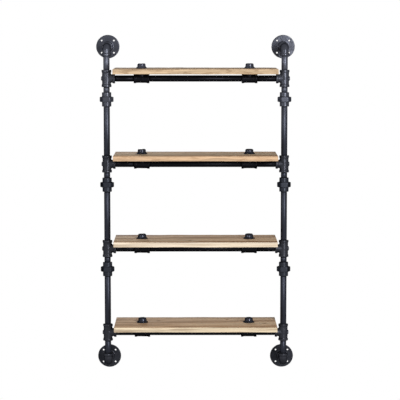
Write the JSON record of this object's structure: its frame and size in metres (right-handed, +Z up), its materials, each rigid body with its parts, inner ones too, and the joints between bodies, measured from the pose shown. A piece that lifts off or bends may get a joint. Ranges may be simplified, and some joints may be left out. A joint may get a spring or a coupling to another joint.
{
  "type": "pipe shelving unit",
  "caption": "Wall shelving of dark threaded pipe and cast fittings with wooden boards clamped under caps, held to the wall by round flanges; its union nuts turn.",
  "frame": {"origin": "on the wall, in the middle of the four wall flanges", "axes": "+X to the right, +Y into the wall (the room is on the -Y side), +Z up"},
  "size_m": [0.68, 0.204, 1.1542],
  "materials": {
    "pipe": "charcoal powder coat",
    "fitting": "charcoal powder coat on a cast surface",
    "board": "light pine, oiled"
  },
  "bodies": {
    "shelving": {"wall_flange_top_left": "fitting", "elbow_top_left": "fitting", "wall_nipple_top_left": "pipe", "wall_flange_top_right": "fitting", "elbow_top_right": "fitting", "wall_nipple_top_right": "pipe", "wall_flange_foot_left": "fitting", "elbow_foot_left": "fitting", "wall_nipple_foot_left": "pipe", "wall_flange_foot_right": "fitting", "elbow_foot_right": "fitting", "wall_nipple_foot_right": "pipe", "top_pipe_left": "pipe", "upright_tee_left_1": "fitting", "upright_tee_left_2": "fitting", "upright_tee_left_3": "fitting", "upright_tee_left_4": "fitting", "riser_pipe_left_1": "pipe", "riser_pipe_left_2": "pipe", "riser_pipe_left_3": "pipe", "union_heads_left": "fitting", "union_tails_left": "fitting", "union_nipples_left": "pipe", "top_pipe_right": "pipe", "upright_tee_right_1": "fitting", "upright_tee_right_2": "fitting", "upright_tee_right_3": "fitting", "upright_tee_right_4": "fitting", "riser_pipe_right_1": "pipe", "riser_pipe_right_2": "pipe", "riser_pipe_right_3": "pipe", "union_heads_right": "fitting", "union_tails_right": "fitting", "union_nipples_right": "pipe", "foot_nipples": "pipe", "crossbar_middle_1": "pipe", "crossbar_ends_1": "pipe", "shelf_tees_1": "fitting", "shelf_board_1": "board", "crossbar_middle_2": "pipe", "crossbar_ends_2": "pipe", "shelf_tees_2": "fitting", "shelf_board_2": "board", "crossbar_middle_3": "pipe", "crossbar_ends_3": "pipe", "shelf_tees_3": "fitting", "shelf_board_3": "board", "crossbar_middle_4": "pipe", "crossbar_ends_4": "pipe", "shelf_tees_4": "fitting", "shelf_board_4": "board", "shelf_nipples": "pipe", "shelf_caps": "fitting"},
    "union_nut_left_1": {"union_nut_left_1": "fitting"},
    "union_nut_left_2": {"union_nut_left_2": "fitting"},
    "union_nut_left_3": {"union_nut_left_3": "fitting"},
    "union_nut_right_1": {"union_nut_right_1": "fitting"},
    "union_nut_right_2": {"union_nut_right_2": "fitting"},
    "union_nut_right_3": {"union_nut_right_3": "fitting"}
  },
  "joints": [
    {"name": "union_nut_left_1_turn", "type": "hinge", "parent": "shelving", "child": "union_nut_left_1", "pos_m": [-0.3, -0.104, 0.36165], "axis": [0, 0, 1], "continuous": true},
    {"name": "union_nut_left_2_turn", "type": "hinge", "parent": "shelving", "child": "union_nut_left_2", "pos_m": [-0.3, -0.104, 0.07265], "axis": [0, 0, 1], "continuous": true},
    {"name": "union_nut_left_3_turn", "type": "hinge", "parent": "shelving", "child": "union_nut_left_3", "pos_m": [-0.3, -0.104, -0.21635], "axis": [0, 0, 1], "continuous": true},
    {"name": "union_nut_right_1_turn", "type": "hinge", "parent": "shelving", "child": "union_nut_right_1", "pos_m": [0.3, -0.104, 0.36165], "axis": [0, 0, 1], "continuous": true},
    {"name": "union_nut_right_2_turn", "type": "hinge", "parent": "shelving", "child": "union_nut_right_2", "pos_m": [0.3, -0.104, 0.07265], "axis": [0, 0, 1], "continuous": true},
    {"name": "union_nut_right_3_turn", "type": "hinge", "parent": "shelving", "child": "union_nut_right_3", "pos_m": [0.3, -0.104, -0.21635], "axis": [0, 0, 1], "continuous": true}
  ]
}
